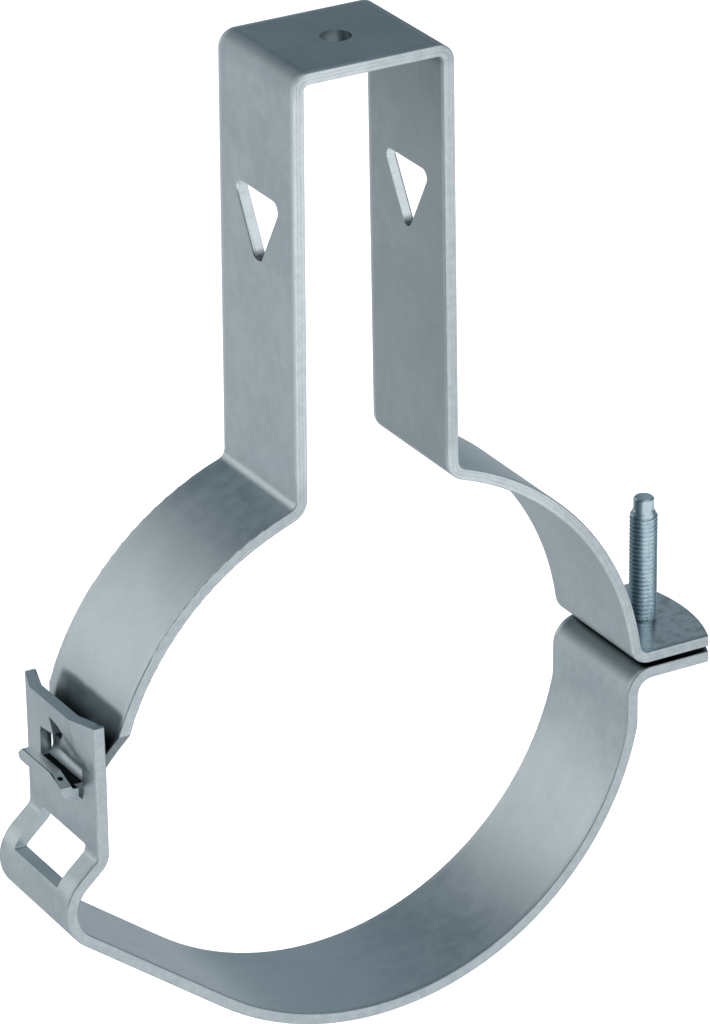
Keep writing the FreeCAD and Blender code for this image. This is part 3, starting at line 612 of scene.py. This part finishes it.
def upper_shade_black(wiring, in_mm, x, y, z, from_edge, patch, window, tip):
    """Where the upper band is painted nearly black as shade.

    That is in the tongue's inner corner, along the hook's lip, at the windows' lower corner, in the
    gap between the closed ears and low down behind the end plate; a small dark spot beside the
    hook is painted black too.
    """
    # Painted shade in the tongue's inner corner
    tongue_corner = wiring.times(
        wiring.ramp(z, -188.5, -189.1),
        wiring.ramp(z, -190.8, -190.2),
        wiring.band(x, -88.9, -84.6, 0.3),
        wiring.ramp(from_edge, 0.3, 0.6),
    )
    # Painted shade along the back of the hook's lip
    along_lip = wiring.times(wiring.band(x, -91.97, -91.77, 0.12), wiring.band(y, -7.2, 11.2, 0.5))
    lip = wiring.times(along_lip, tip, 0.8)
    dark_spot = wiring.ramp(wiring.distance(in_mm, DARK_SPOT_PLACE), 0.95, 0.60)
    # Painted shade in the windows' lower corner
    window_corner = wiring.times(window, wiring.ramp(z, -54.8, -56.4, 0.0, 0.62))
    # Painted shade under the upper ear, only while the closed ears lie close over each other
    under_ear = wiring.times(
        wiring.ramp(z, EAR_UNDERSIDE + 0.4, EAR_UNDERSIDE + 0.1),
        wiring.ramp(x, 82.0, 86.0, 0.0, 0.9),
        wiring.closed_in(EAR_GAP_REACH * MM),
    )
    # Painted shadow, nearly black, low down behind the end plate
    plate_shadow = wiring.times(
        patch, wiring.ramp(z, -170.5, -176.0, 0.0, 0.85), wiring.ramp(from_edge, 0.4, 1.0),
    )
    return wiring.most(tongue_corner, lip, dark_spot, window_corner, under_ear, plate_shadow)


def upper_marks(wiring, in_mm):
    """Where the upper band differs from plain zinc."""
    x, y, z = wiring.axes(in_mm)
    across = wiring.unsigned(x)
    depth = outer_skin_depth(wiring, x, z)
    from_edge = upper_from_edge(wiring, x, y, z)
    tip = hook_end_face(wiring, x, y, z)
    window = window_cut(wiring, across, y, z, depth)
    patch = plate_shadow_patch(wiring, in_mm, x, y, z)
    on_ear = wiring.times(wiring.ramp(z, EAR_TOP - 0.8, EAR_TOP - 0.2), wiring.ramp(x, 83.0, 86.0))
    on_bends = wiring.times(wiring.ramp(across, 19.0, 21.0), wiring.ramp(z, -8.0, -4.5))
    rough = wiring.plus(wiring.times(on_bends, 0.30), wiring.times(on_ear, -0.15))
    return {
        "shade_and_scuffs": upper_shade_and_scuffs(wiring, in_mm, x, y, z, patch, on_ear),
        "edge": wiring.most(sheared(wiring, from_edge), tip, window),
        "wear_and_sheen": upper_wear_and_sheen(wiring, x, z, window, tip),
        "shade_black": upper_shade_black(wiring, in_mm, x, y, z, from_edge, patch, window, tip),
        "rough": wiring.plus(rough, wiring.times(window, -0.12)),
        "dent": rolled_away(wiring, from_edge, -0.12),
        "depth": depth,
        "lined": wiring.times(wiring.ramp(x, -84.5, -82.0), wiring.less(1.0, window)),
    }


def plate_dents(wiring, in_mm, x, y, z):
    """1 in a slanting dent and a round dent on the end plate."""
    middle_y, middle_z = SLANT_DENT_MIDDLE
    off_line = wiring.plus(wiring.times(wiring.less(y, middle_y), -SLANT_DENT_SLOPE), z)
    off_line = wiring.unsigned(wiring.less(off_line, middle_z))
    slant_dent = wiring.times(
        wiring.ramp(off_line, SLANT_DENT_HALF, 0.0), wiring.band(y, -10.5, -6.0, 3.0),
    )
    hollow = wiring.ramp(wiring.distance(in_mm, DENT_PLACE), DENT_RADIUS, 0.0)
    on_plate = wiring.times(wiring.ramp(x, -80.0, -82.0), wiring.ramp(z, -200.0, -195.0))
    return wiring.times(wiring.most(slant_dent, hollow), on_plate)


def lower_marks(wiring, in_mm):
    """Where the lower band differs from plain zinc.

    The back of the end plate, its dents and the ear's bend are darkened with painted shade, and
    the ear's top is painted nearly black as shade in the gap between the closed ears.
    """
    x, y, z = wiring.axes(in_mm)
    from_edge = wiring.less(EDGE_AT, wiring.unsigned(y))
    on_plate = wiring.times(wiring.ramp(x, -78.0, -79.5), wiring.ramp(z, -202.0, -196.0))
    # Painted shade on the back of the end plate
    plate_back_shade = wiring.times(wiring.ramp(x, -84.6, -83.3), on_plate, 0.85)
    # Painted shade on the ear's bend under the upper ear, where it takes away the highlight
    ear_bend_shade = wiring.times(
        wiring.band(x, 77.0, 83.0, 2.5), wiring.ramp(z, -202.0, -197.0, 0.0, 0.72),
    )
    # Painted shade on the lower ear's top in the gap, only while the ears lie closed
    ear_gap_shade = wiring.times(wiring.ramp(z, -195.9, -195.4), wiring.ramp(x, 79.0, 84.0, 0.0, 0.95))
    inside_edge = wiring.ramp(from_edge, 0.0, 0.5)
    dents = plate_dents(wiring, in_mm, x, y, z)
    sunk = wiring.times(dents, -0.08)
    return {
        # The dents sink as relief and are darkened with painted shade
        "shade_and_scuffs": wiring.most(plate_back_shade, ear_bend_shade, wiring.times(dents, 0.42)),
        "edge": sheared(wiring, from_edge),
        "wear_and_sheen": 0.22,
        "shade_black": wiring.times(ear_gap_shade, inside_edge, wiring.closed_in(EAR_GAP_REACH * MM)),
        "rough": 0.0,
        "dent": wiring.plus(sunk, rolled_away(wiring, from_edge, -0.2)),
    }


def zinc_plated():
    """Bright bluish zinc plate on the screw, with faint blotches and painted shade on the side by the
    band.
    """
    material, wiring = new_material("zinc_plated_screw")
    in_mm = wiring.place_in_mm()
    blotch = wiring.noise(in_mm, scale=0.5, detail=3.0, roughness=0.6)
    grain = wiring.noise(in_mm, scale=4.0, detail=2.0)
    colour = wiring.mix(wiring.spread(blotch, 0.0, 1.0), BLUE_PLATE, PALE_PLATE)
    x, y, _ = wiring.axes(in_mm)
    along_x, along_y = SIDE_SHADE_DIRECTION
    across = wiring.times(wiring.less(x, SCREW_X), along_x)
    across = wiring.plus(across, wiring.times(y, along_y))
    # Painted shade on the screw's side that faces the band
    side_shade = wiring.ramp(across, *SIDE_SHADE_REACH, 0.0, SIDE_SHADE_STRENGTH)
    colour = wiring.mix(side_shade, colour, SHADED_PLATE)
    rough = wiring.spread(grain, *PLATE_ROUGHNESS)
    normal = wiring.bump(grain, PLATE_RELIEF * MM)
    wiring.principled({
        "Base Color": colour, "Metallic": 1.0, "Roughness": rough, "Normal": normal,
    })
    return material


def dress(node, material):
    """Gives a carried-over node its finish."""
    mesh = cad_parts[node].data
    mesh.materials.clear()
    mesh.materials.append(material)


def floor():
    """A pale level floor.

    To the camera it glows white. In reflections it glows faintly: less round a shaded spot behind
    the part, and more towards the camera.
    """
    half = FLOOR_HALF
    mesh = sheet("floor", [(-half, -half, 0), (half, -half, 0), (half, half, 0), (-half, half, 0)])
    plane = placed("floor", mesh)
    plane.location.z = FLOOR_RISE
    material, wiring = new_material("pale_floor")
    path = wiring.add("ShaderNodeLightPath").outputs
    place = wiring.place()
    behind = wiring.ramp(wiring.distance(place, FLOOR_SHADE_PLACE), 0.10, 0.50, 0.02, 0.11)
    ahead = wiring.ramp(wiring.axes(place)["Y"], 0.0, -0.35, 0.0, 0.12)
    seen = wiring.most(path["Is Camera Ray"], path["Is Transmission Ray"])
    mirrored = wiring.times(path["Is Glossy Ray"], wiring.plus(behind, ahead))
    wiring.principled({
        "Base Color": PALE_FLOOR, "Roughness": 0.9, "Specular IOR Level": 0.0,
        "Emission Color": WHITE, "Emission Strength": wiring.plus(seen, mirrored),
    })
    mesh.materials.append(material)


def surroundings():
    """A studio with a dim bluish ceiling, a bright wall on the far left and a broad glow in front.

    To the camera it is white all round.
    """
    world = bpy.data.worlds.new("studio")
    bpy.context.scene.world = world
    world.use_nodes = True
    wiring = Wiring(world.node_tree)
    towards = wiring.add("ShaderNodeTexCoord").outputs["Generated"]

    def glow(direction, wide, narrow):
        """Rises from 0 at the wide angle off the direction to 1 at the narrow one, in degrees."""
        aim = Vector(direction).normalized()
        near = wiring.add("ShaderNodeVectorMath", {0: towards, 1: aim}, operation="DOT_PRODUCT")
        wide_edge, narrow_edge = math.cos(math.radians(wide)), math.cos(math.radians(narrow))
        return wiring.ramp(near.outputs["Value"], wide_edge, narrow_edge)

    wall = glow((-0.62, 0.77, 0.08), wide=47, narrow=6)
    front = glow((0.1, -1.0, 0.15), wide=75, narrow=20)
    colour = wiring.mix(wall, CEILING, FAR_WALL)
    colour = wiring.mix(wiring.times(front, 0.85), colour, FRONT_GLOW)
    path = wiring.add("ShaderNodeLightPath").outputs
    seen = wiring.most(path["Is Camera Ray"], path["Is Transmission Ray"])
    colour = wiring.mix(seen, colour, WHITE)
    back = wiring.add("ShaderNodeBackground", {"Color": colour, "Strength": 1.0})
    wiring.add("ShaderNodeOutputWorld", {"Surface": back.outputs[0]})


def haze_card():
    """An upright veil behind the part, seen in reflections alone.

    It glows faintly, most at the height of the part's upper half, and fades out at its left edge.
    """
    low, high = CARD_LOW, CARD_HIGH
    left, right = CARD_LEFT, CARD_RIGHT
    mesh = sheet("haze_card", [(left, 0, low), (right, 0, low), (right, 0, high), (left, 0, high)])
    card = placed("haze_card", mesh)
    card.location.y = CARD_PLACE
    card.visible_camera = False
    card.visible_diffuse = False
    card.visible_shadow = False
    card.visible_transmission = False
    material, wiring = new_material("haze")
    x, _, z = wiring.axes(wiring.place())
    rise = wiring.times(wiring.ramp(z, 0.32, 0.06), wiring.ramp(z, -0.28, -0.10, 0.38, 1.0))
    side = wiring.ramp(x, CARD_LEFT, 0.15)
    strength = wiring.times(rise, side, CARD_STRENGTH)
    glow = wiring.add("ShaderNodeEmission", {"Color": HAZE, "Strength": strength})
    clear = wiring.add("ShaderNodeBsdfTransparent")
    veil = wiring.add("ShaderNodeAddShader", {0: glow.outputs[0], 1: clear.outputs[0]})
    wiring.add("ShaderNodeOutputMaterial", {"Surface": veil.outputs[0]})
    mesh.materials.append(material)


def lamp(name, place, size, watts, tint):
    """A soft square lamp that faces the part, unseen by the camera and in reflections."""
    data = bpy.data.lights.new(name, "AREA")
    data.shape = "SQUARE"
    data.size = size
    data.energy = watts
    data.color = tint
    light = placed(name, data)
    light.location = place
    light.rotation_euler = (Vector(LAMP_AIM) - Vector(place)).to_track_quat("-Z", "Y").to_euler()
    light.visible_glossy = False
    light.visible_camera = False


def camera():
    """The camera at the photograph's angle: turned about Z, tipped down, then rolled."""
    azimuth, elevation = CAMERA_AZIMUTH, CAMERA_ELEVATION
    level = math.cos(elevation)
    back = Vector((math.sin(azimuth) * level, -math.cos(azimuth) * level, math.sin(elevation)))
    right = Vector((math.cos(azimuth), math.sin(azimuth), 0))
    up = back.cross(right)
    side = math.cos(CAMERA_ROLL) * right + math.sin(CAMERA_ROLL) * up
    above = math.cos(CAMERA_ROLL) * up - math.sin(CAMERA_ROLL) * right
    data = bpy.data.cameras.new("camera")
    data.lens = CAMERA_LENS
    data.sensor_width = SENSOR_WIDTH
    data.clip_start = CLIP_NEAR
    data.clip_end = CLIP_FAR
    eye = placed("camera", data)
    turned = Matrix((side, above, back)).transposed().to_4x4()
    eye.matrix_world = Matrix.Translation(CAMERA_PLACE) @ turned
    bpy.context.scene.camera = eye


dress("upper_band", galvanised("galvanised_upper", upper_marks))
dress("lower_band", galvanised("galvanised_lower", lower_marks))

screw = clamp_screw()
screw.data.materials.append(zinc_plated())
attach(screw, "screw")
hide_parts("clamp_screw")

floor()
surroundings()
haze_card()
lamp("key_lamp", place=(-1.6, -1.2, 1.6), size=1.6, watts=28, tint=(1.0, 0.99, 0.97))
lamp("fill_lamp", place=(1.8, -1.0, 0.9), size=1.4, watts=10, tint=(0.96, 0.98, 1.0))
camera()
bpy.context.scene.view_settings.view_transform = "Standard"
